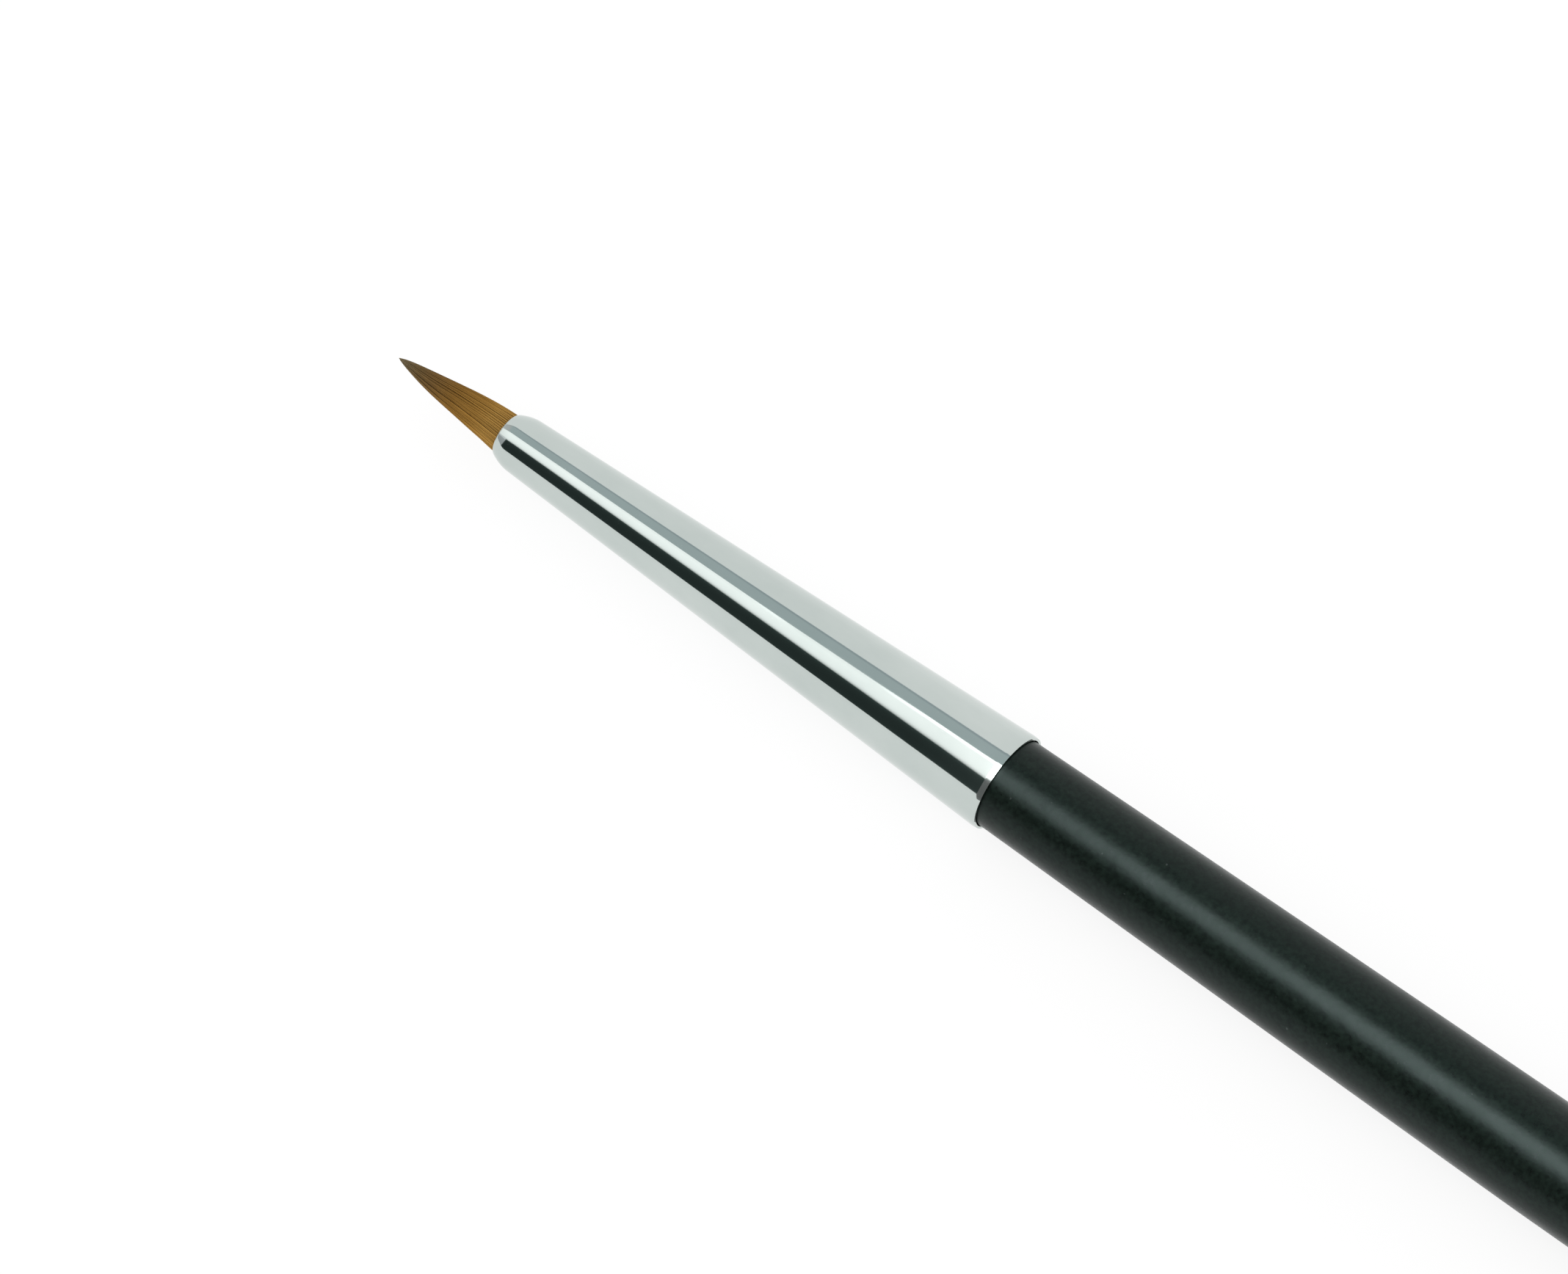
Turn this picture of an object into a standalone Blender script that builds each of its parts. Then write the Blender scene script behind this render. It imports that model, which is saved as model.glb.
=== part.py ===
"""Fine detail brush: a lacquered wooden handle, a tapered plated ferrule and a pointed hair tuft.

The brush lies along X with the hair tip towards -X and the butt of the handle towards +X, +Z up.
The origin is at the middle of its length, on the surface that the belly of the handle rests on.
Inside the ferrule are the bound root of the tuft, its thread binding, the resin that sets it and
the film of adhesive that holds the handle's tenon. The exposed hair is three short lengths, each
turning on a ball in the hollow end of the one behind it, so that the tuft bends as hair does.
"""

import math

import bmesh
import bpy

MM = 0.001

# Lengths along the brush.
OVERALL_LENGTH = 180.0 * MM
TUFT_LENGTH = 8.0 * MM
FERRULE_LENGTH = 35.2 * MM

# Ferrule: a straight cone whose front edge is spun inwards and whose rear edge is eased.
FERRULE_FRONT_RADIUS = 1.63 * MM
FERRULE_REAR_RADIUS = 2.96 * MM
FERRULE_WALL = 0.18 * MM
NOSE_LENGTH = 1.25 * MM
NOSE_DROP_OUTSIDE = 0.30 * MM
NOSE_DROP_INSIDE = 0.18 * MM
REAR_EASE_LENGTH = 0.36 * MM
REAR_EASE_DROP = 0.05 * MM

# Handle: swells to a cylindrical belly, then tapers to a rounded butt with a small flat end.
SHOULDER_RADIUS = 2.73 * MM
BELLY_RADIUS = 3.14 * MM
BELLY_START = 36.0 * MM
BELLY_LENGTH = 26.0 * MM
SWELL_POWER = 1.15
TAPER_POWER = 1.7
BUTT_RADIUS = 2.05 * MM
BUTT_ROUNDING = 1.40 * MM
BUTT_FLAT_RADIUS = 1.00 * MM
SHOULDER_INSERT = 0.80 * MM
TENON_LENGTH = 14.0 * MM
TENON_CHAMFER = 0.50 * MM

# Fits between pieces that touch on the real brush.
FIT_GAP = 0.04 * MM
ADHESIVE_FILM = 0.10 * MM

# Tuft: exposed hair, the three places where it bends, and the bound root inside the ferrule.
TUFT_RADIUS = 1.23 * MM
TUFT_BULGE = 1.2
TUFT_POINT = 0.72
BEND_REACHES = (0.65 * MM, 3.00 * MM, 5.15 * MM)
SOCKET_GAP = 0.08 * MM
SOCKET_LIP_ANGLE = math.radians(61.0)
ROOT_DEPTH = 8.6 * MM
ROOT_NECK_RADIUS = 1.02 * MM
ROOT_NECK_START = 4.9 * MM
ROOT_NECK_END = 7.3 * MM
ROOT_NECK_RUN = 1.0 * MM
ROOT_END_RADIUS = 1.08 * MM

# Thread wound round the neck of the root.
THREAD_RADIUS = 0.12 * MM
THREAD_PITCH = 0.29 * MM
THREAD_TURNS = 6
THREAD_CLEARANCE = 0.06 * MM
THREAD_STEPS = 14

# Resin that fills the ferrule round the root.
RESIN_START = 2.4 * MM
RESIN_END = 10.2 * MM
RESIN_NECK_RUN = 0.5 * MM

# Facets round the brush, points on each small arc and points along each long curve.
ROUND_STEPS = 24
ARC_STEPS = 5
SWELL_STEPS = 9
SWELL_SPACING = 1.3
TAPER_STEPS = 8
EASE_STEPS = 3
TUFT_SIDE_STEPS = 4
TUFT_LAST_STEP = 0.93
SHARP_ANGLE = math.radians(35.0)

TIP_X = -OVERALL_LENGTH / 2
MOUTH_X = TIP_X + TUFT_LENGTH
REAR_X = MOUTH_X + FERRULE_LENGTH
BUTT_X = OVERALL_LENGTH / 2
HANDLE_LENGTH = BUTT_X - REAR_X

# The lowest facet of the belly lies on the surface.
AXIS_Z = BELLY_RADIUS * math.cos(math.pi / ROUND_STEPS)


def clear_scene():
    for obj in list(bpy.data.objects):
        bpy.data.objects.remove(obj, do_unlink=True)


def material(name, colour, roughness, metallic=0.0):
    """A Principled material with one colour."""
    made = bpy.data.materials.new(name)
    made.use_nodes = True
    shader = made.node_tree.nodes["Principled BSDF"]
    shader.inputs["Base Color"].default_value = (*colour, 1.0)
    shader.inputs["Roughness"].default_value = roughness
    shader.inputs["Metallic"].default_value = metallic
    made.diffuse_color = (*colour, 1.0)
    return made


def place(obj, finish, parent, along):
    """Give an object its material and put its origin on the parent's axis."""
    obj.data.materials.append(finish)
    bpy.context.scene.collection.objects.link(obj)
    obj.parent = parent
    obj.location = (along, 0.0, 0.0)
    return obj


def turned(name, outline, finish, parent, along):
    """Turn an outline of (x, radius) points about the X axis into one closed solid.

    An outline that starts and ends on the axis is an open line; any other outline is a loop.
    """
    mesh = bpy.data.meshes.new(name)
    bm = bmesh.new()
    # Half a step of offset puts a facet, and not an edge, straight below the axis.
    start = math.pi / ROUND_STEPS
    verts = []
    for x, radius in outline:
        verts.append(bm.verts.new((x, radius * math.sin(start), radius * math.cos(start))))
    edges = []
    for first, second in zip(verts, verts[1:]):
        edges.append(bm.edges.new((first, second)))
    if outline[0][1] > 0.0:
        edges.append(bm.edges.new((verts[-1], verts[0])))
    bmesh.ops.spin(
        bm,
        geom=verts + edges,
        axis=(1.0, 0.0, 0.0),
        cent=(0.0, 0.0, 0.0),
        steps=ROUND_STEPS,
        angle=2.0 * math.pi,
    )
    bmesh.ops.remove_doubles(bm, verts=bm.verts, dist=0.001 * MM)
    bmesh.ops.recalc_face_normals(bm, faces=bm.faces)
    bm.to_mesh(mesh)
    bm.free()
    mesh.shade_smooth()
    mesh.set_sharp_from_angle(angle=SHARP_ANGLE)
    return place(bpy.data.objects.new(name, mesh), finish, parent, along)


def cone_radius(depth):
    """Outer radius of the ferrule's straight cone, at a depth behind the mouth."""
    share = depth / FERRULE_LENGTH
    return FERRULE_FRONT_RADIUS + (FERRULE_REAR_RADIUS - FERRULE_FRONT_RADIUS) * share


def nose_fall(depth, drop):
    """How far the spun-in nose falls inside the cone, at a depth behind the mouth."""
    return drop * max(0.0, 1.0 - depth / NOSE_LENGTH) ** 2


def bore_radius(depth):
    """Inner radius of the ferrule, at a depth behind the mouth."""
    return cone_radius(depth) - FERRULE_WALL - nose_fall(depth, NOSE_DROP_INSIDE)


def tuft_radius(reach):
    """Radius of the exposed hair, at a reach in front of the mouth."""
    share = min(1.0, max(0.0, reach / TUFT_LENGTH))
    return TUFT_RADIUS * (1.0 - share**TUFT_BULGE) ** TUFT_POINT


def handle_radius(along):
    """Radius of the handle, at a distance behind the ferrule."""
    belly_end = BELLY_START + BELLY_LENGTH
    taper_length = HANDLE_LENGTH - BUTT_ROUNDING - belly_end
    if along < BELLY_START:
        share = (1.0 - along / BELLY_START) ** SWELL_POWER
        return BELLY_RADIUS - (BELLY_RADIUS - SHOULDER_RADIUS) * share
    if along <= belly_end:
        return BELLY_RADIUS
    share = min(1.0, (along - belly_end) / taper_length) ** TAPER_POWER
    return BELLY_RADIUS - (BELLY_RADIUS - BUTT_RADIUS) * share


def make_handle(parent):
    """Turned hardwood with its tenon; its origin is at the rear edge of the ferrule."""
    film_space = 2.0 * FIT_GAP + ADHESIVE_FILM
    tenon_front = bore_radius(FERRULE_LENGTH - TENON_LENGTH) - film_space
    tenon_rear = bore_radius(FERRULE_LENGTH - SHOULDER_INSERT) - film_space
    outline = [
        (-TENON_LENGTH, 0.0),
        (-TENON_LENGTH, tenon_front - TENON_CHAMFER),
        (-TENON_LENGTH + TENON_CHAMFER, tenon_front),
        (-SHOULDER_INSERT, tenon_rear),
        (-SHOULDER_INSERT, bore_radius(FERRULE_LENGTH - SHOULDER_INSERT) - FIT_GAP),
    ]
    for step in range(SWELL_STEPS + 1):
        along = BELLY_START * (step / SWELL_STEPS) ** SWELL_SPACING
        outline.append((along, handle_radius(along)))
    taper_start = BELLY_START + BELLY_LENGTH
    taper_end = HANDLE_LENGTH - BUTT_ROUNDING
    for step in range(TAPER_STEPS + 1):
        along = taper_start + (taper_end - taper_start) * step / TAPER_STEPS
        outline.append((along, handle_radius(along)))
    for step in range(1, ARC_STEPS + 1):
        turn = math.radians(90.0) * step / ARC_STEPS
        along = taper_end + BUTT_ROUNDING * math.sin(turn)
        radius = BUTT_FLAT_RADIUS + (BUTT_RADIUS - BUTT_FLAT_RADIUS) * math.cos(turn)
        outline.append((along, radius))
    outline.append((HANDLE_LENGTH, 0.0))
    lacquer = material("black_lacquer", (0.016, 0.020, 0.019), 0.34)
    return turned("handle", outline, lacquer, parent, REAR_X)


def make_ferrule(parent):
    """Seamless plated cone, open at both ends; its origin is at the mouth."""
    outside = []
    inside = []
    for step in range(ARC_STEPS + 1):
        depth = NOSE_LENGTH * step / ARC_STEPS
        outside.append((depth, cone_radius(depth) - nose_fall(depth, NOSE_DROP_OUTSIDE)))
        inside.append((depth, bore_radius(depth)))
    # The rim is a half round between the two surfaces, so its crown lies at the mouth.
    rim_radius = (outside[0][1] - inside[0][1]) / 2
    rim_centre = inside[0][1] + rim_radius
    outside[0] = (rim_radius, outside[0][1])
    inside[0] = (rim_radius, inside[0][1])
    rim = []
    for step in range(1, ARC_STEPS):
        turn = math.pi * step / ARC_STEPS
        depth = rim_radius - rim_radius * math.sin(turn)
        rim.append((depth, rim_centre - rim_radius * math.cos(turn)))
    eased = []
    for step in range(EASE_STEPS + 1):
        share = step / EASE_STEPS
        depth = FERRULE_LENGTH - REAR_EASE_LENGTH * (1.0 - share)
        eased.append((depth, cone_radius(depth) - REAR_EASE_DROP * share**2))
    bore = [(FERRULE_LENGTH, bore_radius(FERRULE_LENGTH))]
    outline = outside + eased + bore + list(reversed(inside)) + rim
    plating = material("bright_plating", (0.56, 0.61, 0.59), 0.06, 1.0)
    return turned("ferrule", outline, plating, parent, MOUTH_X)


def make_handle_adhesive(parent):
    """Film of glue round the tenon; its origin is at the rear edge of the ferrule."""
    front = -TENON_LENGTH + TENON_CHAMFER
    rear = -SHOULDER_INSERT - FIT_GAP
    outer_front = bore_radius(FERRULE_LENGTH + front) - FIT_GAP
    outer_rear = bore_radius(FERRULE_LENGTH + rear) - FIT_GAP
    outline = [
        (front, outer_front),
        (rear, outer_rear),
        (rear, outer_rear - ADHESIVE_FILM),
        (front, outer_front - ADHESIVE_FILM),
    ]
    glue = material("amber_glue", (0.55, 0.36, 0.12), 0.35)
    return turned("handle_adhesive", outline, glue, parent, REAR_X)


def make_root_resin(parent):
    """Cup of resin set round the root and its binding; its origin is at the mouth."""
    root_space = TUFT_RADIUS + FIT_GAP
    winding_space = ROOT_NECK_RADIUS + 2.0 * (THREAD_CLEARANCE + THREAD_RADIUS)
    floor = ROOT_DEPTH + FIT_GAP
    outline = [
        (floor, 0.0),
        (floor, winding_space),
        (ROOT_NECK_START, winding_space),
        (ROOT_NECK_START - RESIN_NECK_RUN, root_space),
        (RESIN_START, root_space),
        (RESIN_START, bore_radius(RESIN_START) - FIT_GAP),
        (RESIN_END, bore_radius(RESIN_END) - FIT_GAP),
        (RESIN_END, 0.0),
    ]
    resin = material("clear_resin", (0.60, 0.50, 0.30), 0.20)
    return turned("root_resin", outline, resin, parent, MOUTH_X)


def make_root_binding(parent):
    """Thread wound round the neck of the root; its origin is at the mouth."""
    curve = bpy.data.curves.new("root_binding", "CURVE")
    curve.dimensions = "3D"
    curve.bevel_depth = THREAD_RADIUS
    curve.bevel_resolution = 1
    curve.use_fill_caps = True
    wound_radius = ROOT_NECK_RADIUS + THREAD_CLEARANCE + THREAD_RADIUS
    wound_length = THREAD_TURNS * THREAD_PITCH
    start = (ROOT_NECK_START + ROOT_NECK_END - wound_length) / 2
    points = THREAD_TURNS * THREAD_STEPS + 1
    spline = curve.splines.new("POLY")
    spline.points.add(points - 1)
    for index in range(points):
        turn = 2.0 * math.pi * index / THREAD_STEPS
        along = start + wound_length * index / (points - 1)
        across = wound_radius * math.sin(turn)
        up = wound_radius * math.cos(turn)
        spline.points[index].co = (along, across, up, 1.0)
    thread = material("waxed_thread", (0.75, 0.70, 0.60), 0.8)
    return place(bpy.data.objects.new("root_binding", curve), thread, parent, MOUTH_X)


def ball_points(reach, radius, toward_equator):
    """Points of a quarter round behind a bend, from the axis outwards.

    toward_equator is the angle that the arc covers, from straight back towards the sides.
    """
    points = []
    for step in range(ARC_STEPS + 1):
        turn = toward_equator * step / ARC_STEPS
        points.append((reach - radius * math.cos(turn), radius * math.sin(turn)))
    points[0] = (reach - radius, 0.0)
    return points


def socket_points(reach):
    """The hollow end behind a bend, from its outer lip inwards to the axis."""
    hollow = ball_points(reach, tuft_radius(reach) + SOCKET_GAP, SOCKET_LIP_ANGLE)
    lip_reach = hollow[-1][0]
    return [(lip_reach, tuft_radius(lip_reach))] + list(reversed(hollow))


def hair_outline(points, origin_reach):
    """Turn reaches in front of the mouth into X distances from a piece's own origin."""
    return [(origin_reach - reach, radius) for reach, radius in points]


def make_tuft_root(parent, finish):
    """Bound hair inside the ferrule; its origin is at the mouth."""
    points = [
        (-ROOT_DEPTH, 0.0),
        (-ROOT_DEPTH, ROOT_END_RADIUS),
        (-ROOT_NECK_END, ROOT_NECK_RADIUS),
        (-ROOT_NECK_START, ROOT_NECK_RADIUS),
        (-ROOT_NECK_START + ROOT_NECK_RUN, TUFT_RADIUS),
        (0.0, TUFT_RADIUS),
    ]
    points += socket_points(BEND_REACHES[0])
    return turned("tuft_root", hair_outline(points, 0.0), finish, parent, MOUTH_X)


def make_tuft_length(name, start, end, finish, parent, along):
    """One length of exposed hair, from its ball to the next socket or to the point."""
    points = ball_points(start, tuft_radius(start), math.radians(90.0))
    side_end = TUFT_LENGTH if end is None else socket_points(end)[0][0]
    for step in range(1, TUFT_SIDE_STEPS):
        reach = start + (side_end - start) * step / TUFT_SIDE_STEPS
        points.append((reach, tuft_radius(reach)))
    if end is None:
        near_point = start + (side_end - start) * TUFT_LAST_STEP
        points.append((near_point, tuft_radius(near_point)))
        points.append((TUFT_LENGTH, 0.0))
    else:
        points += socket_points(end)
    return turned(name, hair_outline(points, start), finish, parent, along)


def make_tuft(parent):
    """The bound root and three lengths of exposed hair, each carried by the one before."""
    hair = material("golden_hair", (0.30, 0.16, 0.05), 0.55)
    make_tuft_root(parent, hair)
    carrier = parent
    along = MOUTH_X - BEND_REACHES[0]
    names = ("tuft_base", "tuft_middle", "tuft_tip")
    for index, name in enumerate(names):
        start = BEND_REACHES[index]
        last = index == len(names) - 1
        end = None if last else BEND_REACHES[index + 1]
        carrier = make_tuft_length(name, start, end, hair, carrier, along)
        if not last:
            along = start - end


def main():
    clear_scene()
    axis = bpy.data.objects.new("brush_axis", None)
    axis.location = (0.0, 0.0, AXIS_Z)
    bpy.context.scene.collection.objects.link(axis)
    make_handle(axis)
    make_ferrule(axis)
    make_handle_adhesive(axis)
    make_root_resin(axis)
    make_root_binding(axis)
    make_tuft(axis)


main()
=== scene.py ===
"""Looks of the fine detail brush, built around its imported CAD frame.

The handle, the ferrule and the winding are rebuilt as fine meshes with the CAD's own dimensions.
The tuft is made of separate tapering hairs. Lengths are in metres, in the frame of the CAD,
unless a comment says otherwise.
"""

import math

import bpy
import numpy as np
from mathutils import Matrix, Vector


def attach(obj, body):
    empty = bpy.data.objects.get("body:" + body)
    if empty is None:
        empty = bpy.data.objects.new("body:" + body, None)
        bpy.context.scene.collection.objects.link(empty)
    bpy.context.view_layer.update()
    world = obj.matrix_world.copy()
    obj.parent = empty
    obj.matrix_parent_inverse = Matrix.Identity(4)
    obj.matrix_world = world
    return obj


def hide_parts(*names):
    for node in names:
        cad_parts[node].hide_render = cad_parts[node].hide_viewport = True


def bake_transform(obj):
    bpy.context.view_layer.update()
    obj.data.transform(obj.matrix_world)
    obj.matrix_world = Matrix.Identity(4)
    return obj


MM = 0.001
SEED = 20817

# Sizes of the CAD model.
OVERALL_LENGTH = 180.0 * MM
TUFT_LENGTH = 8.0 * MM
FERRULE_LENGTH = 35.2 * MM
FERRULE_FRONT_RADIUS = 1.63 * MM
FERRULE_REAR_RADIUS = 2.96 * MM
FERRULE_WALL = 0.18 * MM
NOSE_LENGTH = 1.25 * MM
NOSE_DROP_OUTSIDE = 0.30 * MM
NOSE_DROP_INSIDE = 0.18 * MM
REAR_EASE_LENGTH = 0.36 * MM
REAR_EASE_DROP = 0.05 * MM
SHOULDER_RADIUS = 2.73 * MM
BELLY_RADIUS = 3.14 * MM
BELLY_START = 36.0 * MM
BELLY_LENGTH = 26.0 * MM
SWELL_POWER = 1.15
TAPER_POWER = 1.7
BUTT_RADIUS = 2.05 * MM
BUTT_ROUNDING = 1.40 * MM
BUTT_FLAT_RADIUS = 1.00 * MM
SHOULDER_INSERT = 0.80 * MM
TENON_LENGTH = 14.0 * MM
TENON_CHAMFER = 0.50 * MM
FIT_GAP = 0.04 * MM
ADHESIVE_FILM = 0.10 * MM
TUFT_RADIUS = 1.23 * MM
TUFT_BULGE = 1.2
TUFT_POINT = 0.72
ROOT_DEPTH = 8.6 * MM
ROOT_NECK_RADIUS = 1.02 * MM
ROOT_NECK_START = 4.9 * MM
ROOT_NECK_END = 7.3 * MM
ROOT_NECK_RUN = 1.0 * MM
ROOT_END_RADIUS = 1.08 * MM
THREAD_RADIUS = 0.12 * MM
THREAD_PITCH = 0.29 * MM
THREAD_TURNS = 6
THREAD_CLEARANCE = 0.06 * MM
CAD_FACETS = 24

TIP_X = -OVERALL_LENGTH / 2
MOUTH_X = TIP_X + TUFT_LENGTH
REAR_X = MOUTH_X + FERRULE_LENGTH
HANDLE_LENGTH = OVERALL_LENGTH / 2 - REAR_X
AXIS_Z = BELLY_RADIUS * math.cos(math.pi / CAD_FACETS)
# A round handle of the same radius as the faceted one would dip below the floor.
ROUND_SCALE = math.cos(math.pi / CAD_FACETS)

# Hair.
HAIR_COUNT = 620
HAIR_RADIUS = 0.0425 * MM
HAIR_SIDES = 6
HAIR_THINNEST = 0.10
SHORT_HAIR_SHARE = 0.22
CLUMP_COUNT = 38
CLUMP_PULL = 0.30
GOLDEN_ANGLE = math.pi * (3.0 - math.sqrt(5.0))
# Where the lengths of hair meet, in millimetres in front of the ferrule's mouth.
BASE_END = 1.5
MIDDLE_END = 4.25
# The tuft leans aside by LEAN in its first quarter, and back by up to SWAY before its point.
LEAN = 0.055 * MM
SWAY = 0.040 * MM
# The shares of both that go along Y and along Z.
LEAN_ALONG_Y = 0.91
LEAN_ALONG_Z = 0.41

# Studio. Angles are in degrees, and the camera's lens and sensor in millimetres.
FLOOR_REACH = 3.0
# The glow and the room's light on the grey add up to white; a shadow only takes from the grey.
FLOOR_GREY = 0.14
FLOOR_GLOW = 0.86
LAMP_PLACE = (-0.15, -0.30, 0.70)
LAMP_AIM = (-0.06, 0.0, 0.0)
LAMP_ACROSS = 0.5
LAMP_POWER = 0.8
CARD_DISTANCE = 0.60
CARD_STEPS = 3
CAMERA_AZIMUTH = 38.95
CAMERA_ELEVATION = 59.70
CAMERA_DISTANCE = 0.3564
CAMERA_AIM_X = -0.06197
CAMERA_AIM_ASIDE = 0.42 * MM
CAMERA_LENS = 150.0
CAMERA_SENSOR = 36.0

# Socket numbers of the Mix node when it mixes colours.
MIX_FACTOR = 0
MIX_FIRST = 6
MIX_SECOND = 7
MIX_RESULT = 2

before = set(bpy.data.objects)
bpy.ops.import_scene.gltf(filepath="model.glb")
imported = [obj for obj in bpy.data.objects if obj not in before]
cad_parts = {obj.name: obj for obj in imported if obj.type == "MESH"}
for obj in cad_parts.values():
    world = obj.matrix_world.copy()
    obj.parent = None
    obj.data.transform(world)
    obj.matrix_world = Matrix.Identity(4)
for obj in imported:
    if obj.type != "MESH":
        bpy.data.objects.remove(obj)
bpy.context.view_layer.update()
rng = np.random.default_rng(SEED)


# ---------------------------------------------------------------- shapes


def cone_radius(depth):
    """Outer radius of the ferrule's cone at a depth behind its mouth."""
    share = depth / FERRULE_LENGTH
    return FERRULE_FRONT_RADIUS + (FERRULE_REAR_RADIUS - FERRULE_FRONT_RADIUS) * share


def nose_fall(depth, drop):
    """How far the spun nose lies inside the cone, if it is drop at the mouth."""
    return drop * max(0.0, 1.0 - depth / NOSE_LENGTH) ** 2


def bore_radius(depth):
    """Inner radius of the ferrule at a depth behind its mouth."""
    return cone_radius(depth) - FERRULE_WALL - nose_fall(depth, NOSE_DROP_INSIDE)


def handle_radius(along):
    """Radius of the handle at a distance behind the ferrule."""
    belly_end = BELLY_START + BELLY_LENGTH
    taper_length = HANDLE_LENGTH - BUTT_ROUNDING - belly_end
    if along < BELLY_START:
        share = (1.0 - along / BELLY_START) ** SWELL_POWER
        return BELLY_RADIUS - (BELLY_RADIUS - SHOULDER_RADIUS) * share
    if along <= belly_end:
        return BELLY_RADIUS
    share = min(1.0, (along - belly_end) / taper_length) ** TAPER_POWER
    return BELLY_RADIUS - (BELLY_RADIUS - BUTT_RADIUS) * share


def link(obj):
    bpy.context.scene.collection.objects.link(obj)
    return obj


def turned(name, outline, segments, origin_x, sharp_degrees=32.0):
    """Turn (x, radius) points about the brush's axis; an outline off the axis closes on itself."""
    closed = outline[0][1] > 0.0
    rings = [point for point in outline if point[1] > 0.0]
    verts = []
    for x, radius in rings:
        for index in range(segments):
            turn = 2.0 * math.pi * index / segments
            up = AXIS_Z + radius * math.cos(turn)
            verts.append((origin_x + x, radius * math.sin(turn), up))
    faces = []
    count = len(rings)
    for ring in range(count if closed else count - 1):
        here = ring * segments
        there = (ring + 1) % count * segments
        for index in range(segments):
            after = (index + 1) % segments
            faces.append((here + index, here + after, there + after, there + index))
    if not closed:
        for x, ring, flip in ((outline[0][0], 0, True), (outline[-1][0], count - 1, False)):
            centre = len(verts)
            verts.append((origin_x + x, 0.0, AXIS_Z))
            for index in range(segments):
                after = (index + 1) % segments
                edge = (ring * segments + index, ring * segments + after)
                faces.append((centre, edge[1], edge[0]) if flip else (centre, *edge))
    mesh = bpy.data.meshes.new(name)
    mesh.from_pydata(verts, [], faces)
    mesh.shade_smooth()
    mesh.set_sharp_from_angle(angle=math.radians(sharp_degrees))
    return link(bpy.data.objects.new(name, mesh))


def spread(start, end, steps):
    """Values from start to end in even steps, with both ends."""
    return [start + (end - start) * step / steps for step in range(steps + 1)]


def make_handle():
    """The handle, from the front of its tenon to the flat on its butt."""
    film_space = 2.0 * FIT_GAP + ADHESIVE_FILM
    tenon_front = bore_radius(FERRULE_LENGTH - TENON_LENGTH) - film_space
    tenon_rear = bore_radius(FERRULE_LENGTH - SHOULDER_INSERT) - film_space
    outline = [
        (-TENON_LENGTH, 0.0),
        (-TENON_LENGTH, tenon_front - TENON_CHAMFER),
        (-TENON_LENGTH + TENON_CHAMFER, tenon_front),
        (-SHOULDER_INSERT, tenon_rear),
        (-SHOULDER_INSERT, bore_radius(FERRULE_LENGTH - SHOULDER_INSERT) - FIT_GAP),
    ]
    belly_end = BELLY_START + BELLY_LENGTH
    taper_end = HANDLE_LENGTH - BUTT_ROUNDING
    for along in spread(0.0, BELLY_START, 60) + spread(belly_end, taper_end, 70):
        outline.append((along, handle_radius(along) * ROUND_SCALE))
    for turn in spread(0.0, math.pi / 2, 20)[1:]:
        along = taper_end + BUTT_ROUNDING * math.sin(turn)
        radius = BUTT_FLAT_RADIUS + (BUTT_RADIUS * ROUND_SCALE - BUTT_FLAT_RADIUS) * math.cos(turn)
        outline.append((along, radius))
    outline.append((HANDLE_LENGTH, 0.0))
    return turned("lacquered_handle", outline, 160, REAR_X)


def make_ferrule():
    """The ferrule with its rounded rim, eased rear edge and bore."""
    outside = []
    inside = []
    for depth in spread(0.0, NOSE_LENGTH, 28):
        outside.append((depth, cone_radius(depth) - nose_fall(depth, NOSE_DROP_OUTSIDE)))
        inside.append((depth, bore_radius(depth)))
    rim_radius = (outside[0][1] - inside[0][1]) / 2
    rim_centre = inside[0][1] + rim_radius
    outside = [(rim_radius, outside[0][1])] + [p for p in outside if p[0] > rim_radius]
    inside = [(rim_radius, inside[0][1])] + [p for p in inside if p[0] > rim_radius]
    rim = []
    for turn in spread(0.0, math.pi, 18)[1:-1]:
        depth = rim_radius - rim_radius * math.sin(turn)
        rim.append((depth, rim_centre - rim_radius * math.cos(turn)))
    cone = []
    ease_start = FERRULE_LENGTH - REAR_EASE_LENGTH
    for depth in spread(NOSE_LENGTH, ease_start, 40)[1:]:
        cone.append((depth, cone_radius(depth)))
    eased = []
    for share in spread(0.0, 1.0, 10)[1:]:
        depth = ease_start + REAR_EASE_LENGTH * share
        eased.append((depth, cone_radius(depth) - REAR_EASE_DROP * share**2))
    bore = [(FERRULE_LENGTH, bore_radius(FERRULE_LENGTH))]
    outline = outside + cone + eased + bore + inside[::-1] + rim
    return turned("plated_ferrule", outline, 192, MOUTH_X)


def tuft_radius(reach):
    """Radius of the exposed tuft at a reach in front of the mouth."""
    share = np.clip(reach / TUFT_LENGTH, 0.0, 1.0)
    return TUFT_RADIUS * (1.0 - share**TUFT_BULGE) ** TUFT_POINT


def bundle_radius(reach):
    """Radius of the whole bundle of hair, in front of the mouth and inside the ferrule."""
    inside = np.interp(
        -reach,
        [0.0, ROOT_NECK_START - ROOT_NECK_RUN, ROOT_NECK_START, ROOT_NECK_END, ROOT_DEPTH],
        [TUFT_RADIUS, TUFT_RADIUS, ROOT_NECK_RADIUS, ROOT_NECK_RADIUS, ROOT_END_RADIUS],
    )
    return np.where(reach > 0.0, tuft_radius(reach), inside)


def paint(mesh, name, colours):
    """Store colours[vertex, rgba] in a layer that a material can read."""
    layer = mesh.color_attributes.new(name, "FLOAT_COLOR", "POINT")
    layer.data.foreach_set("color", colours.astype(np.float32).ravel())


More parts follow.
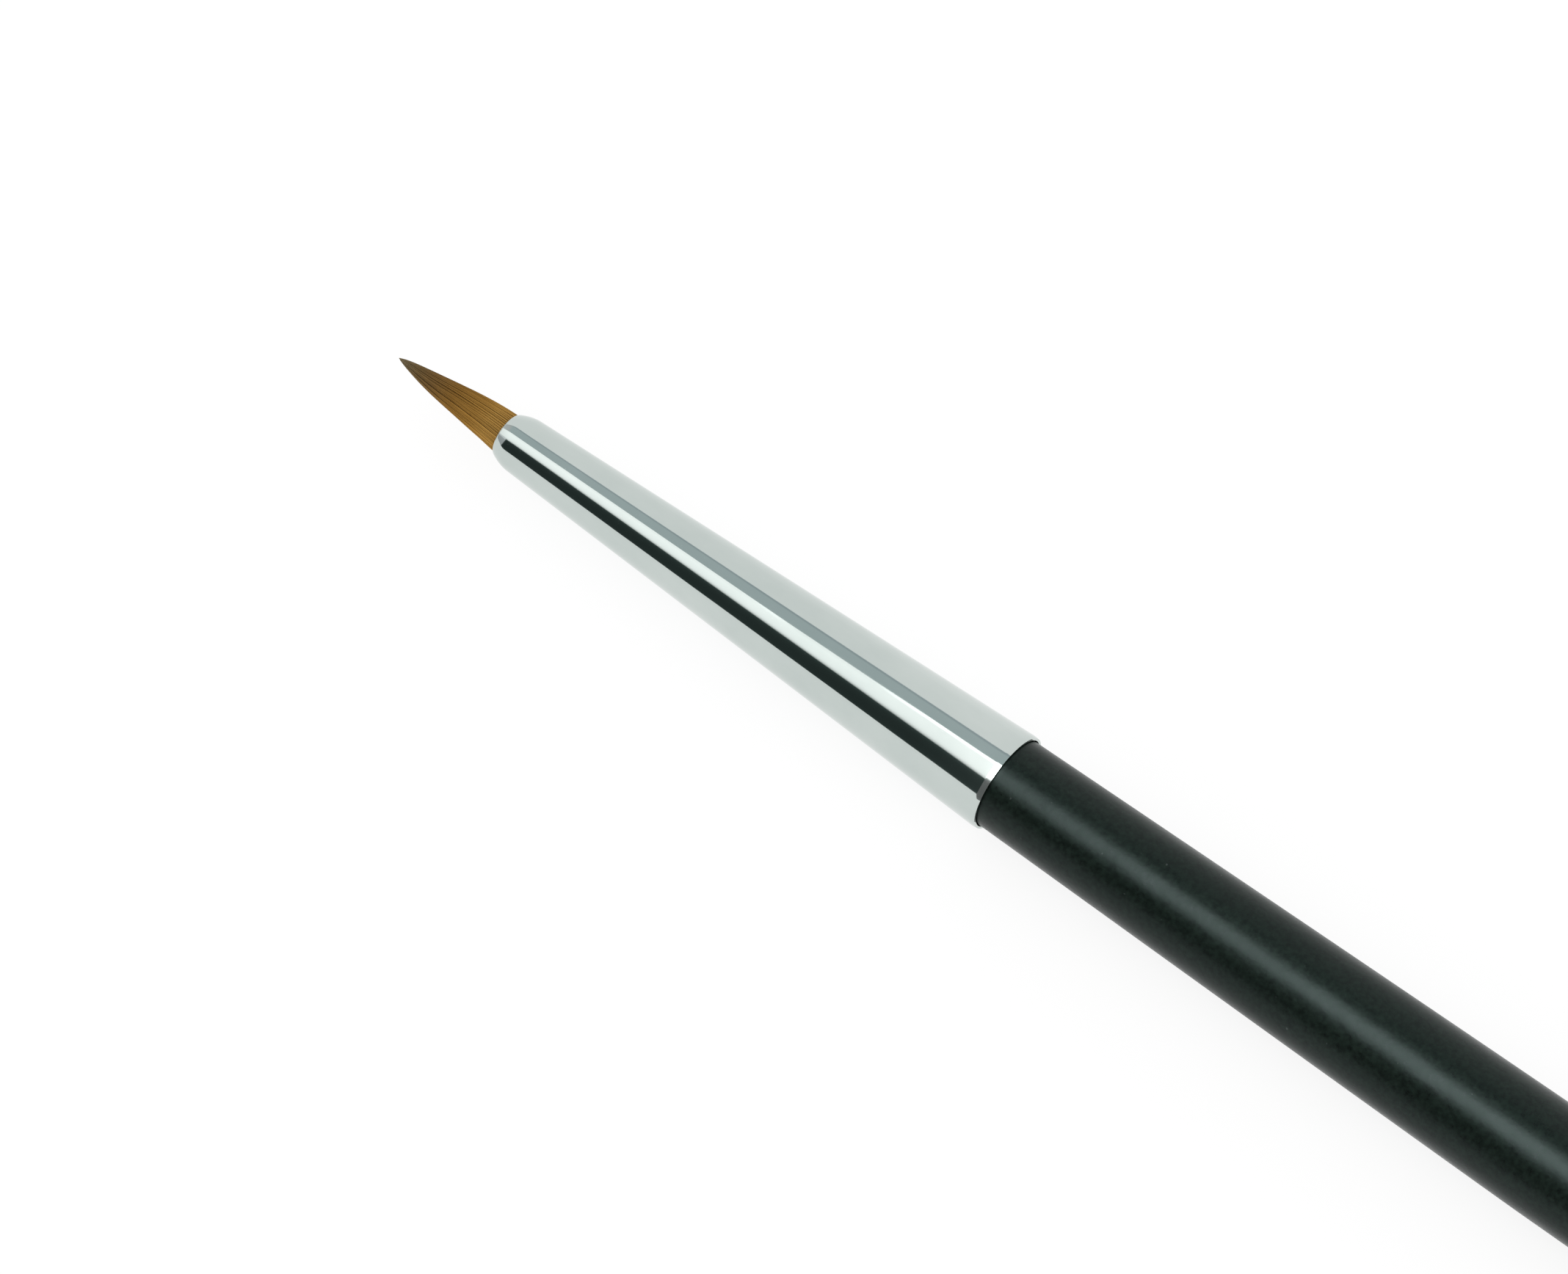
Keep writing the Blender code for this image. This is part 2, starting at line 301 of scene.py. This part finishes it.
def tubes(name, paths, radii, sides):
    """Closed tubes along paths[tube, point, xyz], with radii[tube, point]."""
    count, points, _ = paths.shape
    ahead = np.gradient(paths, axis=1)
    ahead /= np.linalg.norm(ahead, axis=2, keepdims=True)
    slanted_up = np.array([0.0, 0.31, 0.95])
    side = np.cross(ahead, slanted_up)
    side /= np.linalg.norm(side, axis=2, keepdims=True)
    over = np.cross(ahead, side)
    turn = 2.0 * np.pi * np.arange(sides) / sides
    ring = side[:, :, None, :] * np.cos(turn)[None, None, :, None]
    ring = ring + over[:, :, None, :] * np.sin(turn)[None, None, :, None]
    verts = paths[:, :, None, :] + ring * radii[:, :, None, None]
    verts = verts.reshape(-1, 3)
    faces = []
    for tube in range(count):
        first = tube * points * sides
        for point in range(points - 1):
            here = first + point * sides
            for index in range(sides):
                after = (index + 1) % sides
                edge = (here + index, here + after)
                faces.append((*edge, edge[1] + sides, edge[0] + sides))
        last = first + (points - 1) * sides
        faces.append(tuple(first + index for index in reversed(range(sides))))
        faces.append(tuple(last + index for index in range(sides)))
    mesh = bpy.data.meshes.new(name)
    mesh.from_pydata(verts.tolist(), [], faces)
    mesh.shade_smooth()
    mesh.set_sharp_from_angle(angle=math.radians(80.0))
    return link(bpy.data.objects.new(name, mesh))


def evenly_in_disc(count, first_turn=0.0):
    """Points spread evenly over a disc of radius 1, as (y, z) rows."""
    index = np.arange(count)
    out = np.sqrt((index + 0.5) / count)
    turn = index * GOLDEN_ANGLE + first_turn
    return np.stack([out * np.cos(turn), out * np.sin(turn)], axis=1)


def hair_bed():
    """Where each hair stands in the bundle, how far it reaches and how light it is.

    Spots, clumps and waves are shares of the bundle's radius, and reaches are in metres.
    """
    spot = evenly_in_disc(HAIR_COUNT)
    spot += rng.normal(0.0, 0.008, spot.shape)
    spot /= np.maximum(1.0, np.linalg.norm(spot, axis=1, keepdims=True))
    clump = evenly_in_disc(CLUMP_COUNT, 0.7)
    near = np.argmin(((spot[:, None, :] - clump[None, :, :]) ** 2).sum(axis=2), axis=1)
    is_short = rng.random(HAIR_COUNT) < SHORT_HAIR_SHARE
    short_reach = rng.uniform(0.66, 0.93, HAIR_COUNT)
    long_reach = 1.0 - 0.16 * rng.random(HAIR_COUNT) ** 2
    clump_tone = rng.normal(0.0, 0.35, CLUMP_COUNT)[near]
    tone = np.clip(0.5 + 0.2 * (rng.normal(0.0, 1.0, HAIR_COUNT) + clump_tone), 0.0, 1.0)
    return {
        "spot": spot,
        "clump": clump[near],
        "reach": np.where(is_short, short_reach, long_reach) * TUFT_LENGTH,
        "tone": tone,
        "phase": rng.uniform(0.0, 2.0 * math.pi, (HAIR_COUNT, 2)),
        "wave": rng.uniform(0.3, 1.0, HAIR_COUNT) * 0.022,
        "fat": rng.uniform(0.86, 1.0, HAIR_COUNT),
    }


def hair_length(name, bed, reaches):
    """One length of every hair; reaches[hair, point] counts from the mouth towards the tip."""
    share_of_hair = np.clip(reaches / bed["reach"][:, None], 0.0, 1.0)
    share_of_tuft = np.clip(reaches / TUFT_LENGTH, 0.0, 1.0)
    taper = np.maximum(HAIR_THINNEST, (1.0 - share_of_hair**1.7) ** 0.62)
    radii = HAIR_RADIUS * bed["fat"][:, None] * taper
    # The hairs gather in clumps towards the point.
    gather = CLUMP_PULL * np.sin(np.clip(share_of_tuft * 1.25, 0.0, 1.0) * math.pi / 2)
    gather = gather[:, :, None]
    spot = bed["spot"][:, None, :] * (1.0 - gather) + bed["clump"][:, None, :] * gather
    # Each hair waves a little, from nothing at the mouth to its full wave 2 mm in front of it.
    swing = np.sin(reaches[:, :, None] / (2.1 * MM) + bed["phase"][:, None, :])
    swing *= (bed["wave"][:, None] * np.clip(reaches / (2.0 * MM), 0.0, 1.0))[:, :, None]
    spot = spot + swing
    spot = spot / np.maximum(1.0, np.linalg.norm(spot, axis=2, keepdims=True))
    across = spot * np.maximum(bundle_radius(reaches) - radii, 0.004 * MM)[:, :, None]
    lean = LEAN * np.sin(np.clip(share_of_tuft / 0.25, 0.0, 1.0) * math.pi / 2)
    sway = SWAY * np.sin(np.clip((share_of_tuft - 0.35) / 0.65, 0.0, 1.0) * math.pi) ** 2
    aside = lean - sway
    paths = np.stack(
        [
            MOUTH_X - reaches,
            across[:, :, 0] + LEAN_ALONG_Y * aside,
            AXIS_Z + across[:, :, 1] + LEAN_ALONG_Z * aside,
        ],
        axis=2,
    )
    made = tubes(name, paths, radii, HAIR_SIDES)
    # Red holds the tone of the hair and green the place along the tuft.
    tone = np.broadcast_to(bed["tone"][:, None], reaches.shape)
    strand = np.stack([tone, share_of_tuft, np.zeros_like(tone), np.ones_like(tone)], axis=2)
    paint(made.data, "strand", np.repeat(strand.reshape(-1, 4), HAIR_SIDES, axis=0))
    return made


def every_hair(millimetres):
    """The same reaches for every hair, in metres."""
    return np.broadcast_to(np.array(millimetres) * MM, (HAIR_COUNT, len(millimetres)))


def make_hair():
    """The four lengths of hair, from the cut end inside the ferrule to the point."""
    bed = hair_bed()
    root_reaches = [-8.6, -8.0, -7.3, -6.1, -4.9, -4.4, -3.9, -2.5, -1.0]
    root = hair_length("hair_in_ferrule", bed, every_hair(root_reaches))
    base_reaches = [-1.0, -0.5, 0.0, 0.2, 0.4, 0.6, 0.8, 1.0, 1.25, BASE_END]
    base = hair_length("hair_base", bed, every_hair(base_reaches))
    middle_reaches = spread(BASE_END, MIDDLE_END, 9)
    middle = hair_length("hair_middle", bed, every_hair(middle_reaches))
    # Each hair ends at its own reach.
    steps = np.linspace(0.0, 1.0, 12)[None, :]
    start = MIDDLE_END * MM
    point = hair_length("hair_point", bed, start + (bed["reach"][:, None] - start) * steps)
    return root, base, middle, point


def make_winding():
    """Three plies twisted into one thread, wound round the neck of the hair root."""
    plies = 3
    twists_a_turn = 9.0
    points_a_turn = 60
    ply_radius = THREAD_RADIUS * 0.50
    ply_offset = THREAD_RADIUS - ply_radius
    points = THREAD_TURNS * points_a_turn + 1
    share = np.linspace(0.0, 1.0, points)
    wound_radius = ROOT_NECK_RADIUS + THREAD_CLEARANCE + THREAD_RADIUS
    wound_length = THREAD_TURNS * THREAD_PITCH
    first = (ROOT_NECK_START + ROOT_NECK_END - wound_length) / 2
    turn = 2.0 * math.pi * THREAD_TURNS * share
    twist = 2.0 * math.pi * THREAD_TURNS * twists_a_turn * share
    paths = []
    for ply in range(plies):
        lay = twist + 2.0 * math.pi * ply / plies
        out = wound_radius + ply_offset * np.cos(lay)
        along = MOUTH_X + first + wound_length * share + ply_offset * np.sin(lay)
        paths.append(np.stack([along, out * np.sin(turn), AXIS_Z + out * np.cos(turn)], axis=1))
    paths = np.array(paths)
    return tubes("binding_thread", paths, np.full(paths.shape[:2], ply_radius), 8)


# ---------------------------------------------------------------- materials


def new_material(name):
    """A material, its node tree and its shader."""
    made = bpy.data.materials.new(name)
    made.use_nodes = True
    return made, made.node_tree, made.node_tree.nodes["Principled BSDF"]


def node(tree, kind, links=None, **settings):
    """Add a node; links maps an input's name or number to a value or to another node's socket."""
    made = tree.nodes.new(kind)
    for key, value in settings.items():
        setattr(made, key, value)
    for key, value in (links or {}).items():
        if isinstance(value, bpy.types.NodeSocket):
            tree.links.new(value, made.inputs[key])
        else:
            made.inputs[key].default_value = value
    return made


def noise(tree, scale, detail, rough, stretch=(1.0, 1.0, 1.0)):
    """Noise in object coordinates, which are scaled along each axis by stretch first."""
    place = node(tree, "ShaderNodeTexCoord")
    scaled = node(
        tree,
        "ShaderNodeMapping",
        {"Vector": place.outputs["Object"], "Scale": stretch},
    )
    made = node(
        tree,
        "ShaderNodeTexNoise",
        {"Vector": scaled.outputs["Vector"], "Scale": scale, "Detail": detail, "Roughness": rough},
    )
    return made.outputs["Fac"]


def ramp(tree, value, stops):
    """A colour ramp; stops are (position, colour or grey)."""
    made = node(tree, "ShaderNodeValToRGB", {"Fac": value})
    elements = made.color_ramp.elements
    while len(elements) < len(stops):
        elements.new(0.5)
    for element, (position, colour) in zip(elements, stops):
        element.position = position
        is_grey = isinstance(colour, float)
        element.color = (colour, colour, colour, 1.0) if is_grey else (*colour, 1.0)
    return made.outputs["Color"]


def mix_colour(tree, factor, first, second, blend="MIX"):
    """Mix two colours; each argument is a value or another node's socket."""
    made = node(tree, "ShaderNodeMix", data_type="RGBA", blend_type=blend)
    for key, value in ((MIX_FACTOR, factor), (MIX_FIRST, first), (MIX_SECOND, second)):
        if isinstance(value, bpy.types.NodeSocket):
            tree.links.new(value, made.inputs[key])
        elif key == MIX_FACTOR:
            made.inputs[key].default_value = value
        else:
            made.inputs[key].default_value = (*value, 1.0)
    return made.outputs[MIX_RESULT]


def bump(tree, shader, height, strength, distance, before=None):
    """Raise the surface by height, on top of the bump before, and give it to the shader."""
    made = node(
        tree,
        "ShaderNodeBump",
        {"Height": height, "Strength": strength, "Distance": distance},
    )
    if before is not None:
        tree.links.new(before.outputs["Normal"], made.inputs["Normal"])
    tree.links.new(made.outputs["Normal"], shader.inputs["Normal"])
    return made


def lacquer_material():
    """Satin black lacquer: orange peel, slight waves, faint grain, mottling and dust specks."""
    made, tree, shader = new_material("satin_black_lacquer")
    shader.inputs["Specular IOR Level"].default_value = 0.20
    shader.inputs["Specular Tint"].default_value = (0.79, 1.0, 0.98, 1.0)
    grain = noise(tree, 1.0, 4.0, 0.55, (60.0, 900.0, 900.0))
    cloud = noise(tree, 90.0, 3.0, 0.6)
    dark = (0.0028, 0.0059, 0.0041)
    light = (0.0056, 0.0098, 0.0072)
    colour = ramp(tree, grain, [(0.30, dark), (0.72, light)])
    specks = noise(tree, 3400.0, 1.0, 0.3)
    speck_mask = ramp(tree, specks, [(0.795, 0.0), (0.83, 1.0)])
    mottle = noise(tree, 3600.0, 3.0, 0.6)
    blotch = ramp(tree, mottle, [(0.36, 0.52), (0.64, 1.48)])
    colour = mix_colour(tree, 1.0, colour, blotch, "MULTIPLY")
    colour = mix_colour(tree, speck_mask, colour, (0.035, 0.042, 0.040))
    tree.links.new(colour, shader.inputs["Base Color"])
    rough = ramp(tree, mix_colour(tree, 0.6, cloud, mottle), [(0.36, 0.270), (0.64, 0.360)])
    tree.links.new(rough, shader.inputs["Roughness"])
    peel = noise(tree, 1500.0, 2.0, 0.5)
    wave = noise(tree, 240.0, 2.0, 0.5, (0.7, 1.0, 1.0))
    first = bump(tree, shader, peel, 0.22, 0.00006)
    second = bump(tree, shader, wave, 0.40, 0.00016, first)
    bump(tree, shader, grain, 0.08, 0.00005, second)
    return made


def plating_material():
    """Bright plating: lengthwise polishing lines, faint handling haze and slight waves."""
    made, tree, shader = new_material("bright_plating")
    shader.inputs["Metallic"].default_value = 1.0
    haze = noise(tree, 150.0, 4.0, 0.6, (1.0, 1.6, 1.6))
    colour = ramp(tree, haze, [(0.28, (0.510, 0.566, 0.545)), (0.72, (0.570, 0.622, 0.600))])
    tree.links.new(colour, shader.inputs["Base Color"])
    lines = noise(tree, 1.0, 3.0, 0.6, (45.0, 2600.0, 2600.0))
    rough = ramp(tree, haze, [(0.30, 0.035), (0.80, 0.075)])
    tree.links.new(rough, shader.inputs["Roughness"])
    wave = noise(tree, 1.0, 2.0, 0.5, (160.0, 420.0, 420.0))
    first = bump(tree, shader, lines, 0.05, 0.00001)
    bump(tree, shader, wave, 0.05, 0.00003, first)
    return made


def hair_material():
    """Golden brown hair, darker and then greyer towards the point, each hair with its own tone."""
    made, tree, shader = new_material("golden_brown_hair")
    strand = node(tree, "ShaderNodeAttribute", attribute_name="strand")
    parts = node(tree, "ShaderNodeSeparateColor", {"Color": strand.outputs["Color"]})
    tone = parts.outputs["Red"]
    along = parts.outputs["Green"]
    colour = ramp(
        tree,
        along,
        [
            (0.00, (0.368, 0.209, 0.054)),
            (0.13, (0.365, 0.206, 0.051)),
            (0.24, (0.311, 0.167, 0.038)),
            (0.46, (0.235, 0.123, 0.029)),
            (0.68, (0.178, 0.103, 0.037)),
            (0.80, (0.168, 0.108, 0.045)),
            (1.00, (0.215, 0.175, 0.105)),
        ],
    )
    streak = noise(tree, 1.0, 2.0, 0.5, (260.0, 5200.0, 5200.0))
    shade = ramp(tree, tone, [(0.0, 0.70), (1.0, 1.26)])
    colour = mix_colour(tree, 1.0, colour, shade, "MULTIPLY")
    fleck = ramp(tree, streak, [(0.28, 0.88), (0.72, 1.10)])
    colour = mix_colour(tree, 1.0, colour, fleck, "MULTIPLY")
    tree.links.new(colour, shader.inputs["Base Color"])
    rough = ramp(tree, streak, [(0.3, 0.52), (0.7, 0.64)])
    tree.links.new(rough, shader.inputs["Roughness"])
    shader.inputs["Specular IOR Level"].default_value = 0.0
    scales = noise(tree, 1.0, 1.0, 0.5, (9000.0, 2500.0, 2500.0))
    bump(tree, shader, scales, 0.15, 0.000004)
    return made


def thread_material():
    """Pale waxed thread with fine fibres."""
    made, tree, shader = new_material("waxed_thread")
    fibre = noise(tree, 1.0, 3.0, 0.6, (9000.0, 3000.0, 3000.0))
    colour = ramp(tree, fibre, [(0.3, (0.52, 0.47, 0.38)), (0.7, (0.74, 0.69, 0.58))])
    tree.links.new(colour, shader.inputs["Base Color"])
    shader.inputs["Roughness"].default_value = 0.75
    bump(tree, shader, fibre, 0.4, 0.00001)
    return made


def glue_material():
    """Set amber glue with marks of its flow."""
    made, tree, shader = new_material("amber_glue")
    flow = noise(tree, 700.0, 4.0, 0.6)
    colour = ramp(tree, flow, [(0.3, (0.40, 0.24, 0.07)), (0.7, (0.58, 0.38, 0.13))])
    tree.links.new(colour, shader.inputs["Base Color"])
    rough = ramp(tree, flow, [(0.3, 0.28), (0.7, 0.42)])
    tree.links.new(rough, shader.inputs["Roughness"])
    bump(tree, shader, flow, 0.3, 0.00003)
    return made


def resin_material():
    """Set resin, slightly cloudy, with small bubbles."""
    made, tree, shader = new_material("set_resin")
    cloud = noise(tree, 500.0, 3.0, 0.55)
    colour = ramp(tree, cloud, [(0.3, (0.52, 0.42, 0.24)), (0.7, (0.66, 0.57, 0.36))])
    tree.links.new(colour, shader.inputs["Base Color"])
    rough = ramp(tree, cloud, [(0.3, 0.16), (0.7, 0.24)])
    tree.links.new(rough, shader.inputs["Roughness"])
    bubbles = noise(tree, 2200.0, 1.0, 0.4)
    bump(tree, shader, bubbles, 0.2, 0.00002)
    return made


def dress(obj, finish):
    obj.data.materials.clear()
    obj.data.materials.append(finish)


# ---------------------------------------------------------------- pieces


handle = make_handle()
dress(handle, lacquer_material())
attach(handle, "brush")
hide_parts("handle")

ferrule = make_ferrule()
dress(ferrule, plating_material())
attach(ferrule, "brush")
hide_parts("ferrule")

winding = make_winding()
dress(winding, thread_material())
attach(winding, "brush")
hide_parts("root_binding")

hair_root, hair_base, hair_middle, hair_point = make_hair()
hair = hair_material()
for piece in (hair_root, hair_base, hair_middle, hair_point):
    dress(piece, hair)
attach(hair_root, "brush")
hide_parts("tuft_root")
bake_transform(hair_base)
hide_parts("tuft_base")
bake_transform(hair_middle)
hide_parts("tuft_middle")
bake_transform(hair_point)
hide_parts("tuft_tip")

dress(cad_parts["handle_adhesive"], glue_material())
dress(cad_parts["root_resin"], resin_material())


# ---------------------------------------------------------------- studio


def grey(level):
    return (level, level, level)


def make_floor():
    """A white floor that takes only a faint shadow."""
    mesh = bpy.data.meshes.new("studio_floor")
    signs = ((-1.0, -1.0), (1.0, -1.0), (1.0, 1.0), (-1.0, 1.0))
    corners = [(x * FLOOR_REACH, y * FLOOR_REACH, 0.0) for x, y in signs]
    mesh.from_pydata(corners, [], [(0, 1, 2, 3)])
    floor = link(bpy.data.objects.new("studio_floor", mesh))
    made, tree, shader = new_material("studio_white")
    shader.inputs["Base Color"].default_value = (*grey(FLOOR_GREY), 1.0)
    shader.inputs["Roughness"].default_value = 0.9
    shader.inputs["Specular IOR Level"].default_value = 0.0
    shader.inputs["Emission Color"].default_value = (1.0, 1.0, 1.0, 1.0)
    shader.inputs["Emission Strength"].default_value = FLOOR_GLOW
    made.cycles.emission_sampling = "NONE"
    dress(floor, made)


# Directions across the brush: towards the camera, and from there down to the near side.
TOWARDS_CAMERA = Vector((0.0, -0.414, 0.910)).normalized()
TO_NEAR_SIDE = Vector((0.0, -0.910, -0.414)).normalized()


def make_card(name, stations):
    """A curved card along the brush that only shows in reflections.

    Each station is (x, [(degrees, (red, green, blue)), ...]), and all have as many entries. The
    degrees count from the side towards the camera down to the near side.
    """
    rows = len(stations[0][1])
    lines = (rows - 1) * CARD_STEPS + 1
    verts = []
    glows = []
    for x, entries in stations:
        for line in range(lines):
            low = min(line // CARD_STEPS, rows - 2)
            share = line / CARD_STEPS - low
            degrees = entries[low][0] * (1.0 - share) + entries[low + 1][0] * share
            glow = Vector(entries[low][1]) * (1.0 - share) + Vector(entries[low + 1][1]) * share
            turn = math.radians(degrees)
            across = TOWARDS_CAMERA * math.cos(turn) + TO_NEAR_SIDE * math.sin(turn)
            verts.append(tuple(Vector((x, 0.0, AXIS_Z)) + across * CARD_DISTANCE))
            glows.append((*glow, 1.0))
    faces = []
    for station in range(len(stations) - 1):
        for line in range(lines - 1):
            here = station * lines + line
            faces.append((here, here + 1, here + lines + 1, here + lines))
    mesh = bpy.data.meshes.new(name)
    mesh.from_pydata(verts, [], faces)
    paint(mesh, "glow", np.array(glows))
    card = link(bpy.data.objects.new(name, mesh))
    made = bpy.data.materials.new(name)
    made.use_nodes = True
    made.cycles.emission_sampling = "NONE"
    tree = made.node_tree
    tree.nodes.clear()
    glow = node(tree, "ShaderNodeAttribute", attribute_name="glow")
    light = node(tree, "ShaderNodeEmission", {"Color": glow.outputs["Color"], "Strength": 1.0})
    node(tree, "ShaderNodeOutputMaterial", {"Surface": light.outputs[0]})
    dress(card, made)
    card.visible_camera = False
    card.visible_diffuse = False
    card.visible_transmission = False
    card.visible_volume_scatter = False
    card.visible_shadow = False


def reflected_room():
    """The room that the ferrule and the handle mirror, from the far side down to the near side."""
    black = (0.031, 0.043, 0.041)
    side = (0.515, 0.585, 0.600)
    edge = (0.415, 0.475, 0.500)
    dim = (0.043, 0.057, 0.055)
    shade = (0.55, 0.56, 0.58)
    rows = []
    # The columns are x, the angles of the far edge, of grey to white, of white to black and of the
    # near edge, then the glows: the white, its upper border, the share of the white that is left
    # at its lower border, the black, the grey and the grey's far border. The stations up to
    # -0.56 show in the ferrule's nose, the next ones up to -0.266 in its cone, and the others in
    # the handle and in the ferrule's eased rear edge. The narrow ones between -0.32 and -0.28
    # make the small bright flecks on the ferrule.
    for x, far, upper, lower, near, white, core, fall, dark, pale, rim in (
        (-3.000, -75.0, -42.0, 40.0, 95.0, 1.25, 1.25, 0.62, shade, grey(0.70), grey(0.65)),
        (-1.600, -72.0, -26.5, 31.0, 93.0, 1.30, 1.30, 0.62, shade, grey(0.66), grey(0.60)),
        (-1.060, -62.0, -20.7, 24.2, 84.0, 1.40, 1.40, 0.62, shade, grey(0.62), grey(0.55)),
        (-0.830, -57.0, -19.0, 22.4, 71.3, 1.44, 1.44, 0.62, shade, side, edge),
        (-0.780, -56.0, -18.4, 21.7, 69.3, 1.45, 1.45, 0.62, black, side, edge),
        (-0.560, -49.3, -16.3, 19.1, 62.3, 1.47, 1.47, 0.62, black, side, edge),
        (-0.363, -44.4, -14.7, 17.0, 56.3, 1.47, 1.47, 0.62, black, side, edge),
        (-0.3170, -48.3, -16.0, 18.4, 56.9, 1.48, 1.48, 0.62, black, side, edge),
        (-0.3162, -48.4, -16.4, 18.5, 56.9, 1.48, 2.80, 0.62, black, side, edge),
        (-0.3150, -48.5, -16.1, 18.5, 56.9, 1.48, 1.48, 0.62, black, side, edge),
        (-0.2930, -50.7, -19.8, 19.0, 57.4, 1.47, 1.47, 0.62, black, side, edge),
        (-0.2918, -50.8, -20.6, 19.0, 57.4, 1.47, 2.60, 0.62, black, side, edge),
        (-0.2906, -50.9, -20.2, 19.0, 57.4, 1.47, 1.30, 0.62, black, side, edge),
        (-0.2882, -51.1, -21.2, 19.0, 57.5, 1.46, 2.60, 0.62, black, side, edge),
        (-0.2860, -51.3, -21.4, 19.1, 57.5, 1.46, 1.50, 0.62, black, side, edge),
        (-0.2835, -51.6, -22.2, 19.1, 57.6, 1.46, 2.60, 0.62, black, side, edge),
        (-0.2800, -51.8, -22.6, 19.2, 57.7, 1.46, 1.90, 0.62, black, side, edge),
        (-0.2660, -52.3, -23.5, 19.4, 57.8, 1.48, 2.20, 0.62, dim, side, edge),
        (-0.2450, -52.4, -23.6, 20.0, 57.8, 2.20, 2.60, 0.80, dim, side, edge),
        (-0.2350, -52.0, -23.8, 17.0, 60.0, 10.2, 5.60, 0.15, grey(0.19), side, edge),
        (-0.1500, -52.0, -23.8, 17.0, 66.0, 7.90, 4.20, 0.15, grey(0.19), side, edge),
        (0.500, -52.0, -23.8, 17.0, 66.0, 7.90, 4.20, 0.15, grey(0.19), side, edge),
    ):
        light = Vector(grey(white))
        deep = Vector(dark)
        entries = [
            (far - 0.01, grey(1.0)),
            (far, rim),
            (far + 3.6, rim),
            (far + 6.0, pale),
            (upper - 0.4, pale),
            (upper + 0.1, grey(core)),
            (upper + 5.5, grey(core)),
            (upper + 7.0, light * 1.05),
            (lower - 11.5, light * 0.98),
            (lower - 6.0, light * (fall + 0.27)),
            (lower - 1.6, light * fall * 0.85),
            (lower + 0.4, deep * 1.8),
            (lower + 6.0, deep),
            ((lower + near) / 2, deep * 0.85),
            (near - 6.0, deep * 0.9),
            (near, deep * 1.3),
            (near + 0.01, grey(1.0)),
        ]
        rows.append((x, entries))
    return rows


def make_lights():
    """A white world, the card that is seen in reflections, and a soft lamp."""
    world = bpy.data.worlds.new("studio_world")
    world.use_nodes = True
    world.node_tree.nodes["Background"].inputs["Color"].default_value = (1.0, 1.0, 1.0, 1.0)
    world.node_tree.nodes["Background"].inputs["Strength"].default_value = 1.0
    bpy.context.scene.world = world
    make_card("studio_room", reflected_room())
    lamp_data = bpy.data.lights.new("soft_key", "AREA")
    lamp_data.shape = "DISK"
    lamp_data.size = LAMP_ACROSS
    lamp_data.energy = LAMP_POWER
    lamp = link(bpy.data.objects.new("soft_key", lamp_data))
    lamp.location = LAMP_PLACE
    aim = Vector(LAMP_AIM) - lamp.location
    lamp.rotation_euler = aim.to_track_quat("-Z", "Y").to_euler()
    lamp.visible_glossy = False
    lamp.visible_camera = False


def make_camera():
    """The camera of the reference, fitted to the outline of the brush."""
    azimuth = math.radians(CAMERA_AZIMUTH)
    elevation = math.radians(CAMERA_ELEVATION)
    backward = Vector(
        (
            math.cos(elevation) * math.sin(azimuth),
            -math.cos(elevation) * math.cos(azimuth),
            math.sin(elevation),
        )
    )
    aim = Vector((CAMERA_AIM_X, 0.0, AXIS_Z)) + TO_NEAR_SIDE * CAMERA_AIM_ASIDE
    data = bpy.data.cameras.new("camera")
    data.lens = CAMERA_LENS
    data.sensor_width = CAMERA_SENSOR
    data.clip_start = 0.01
    data.clip_end = 10.0
    camera = link(bpy.data.objects.new("camera", data))
    camera.location = aim + backward * CAMERA_DISTANCE
    camera.rotation_euler = (-backward).to_track_quat("-Z", "Y").to_euler()
    bpy.context.scene.camera = camera


make_floor()
make_lights()
make_camera()
bpy.context.scene.view_settings.view_transform = "Standard"
bpy.context.scene.view_settings.look = "None"
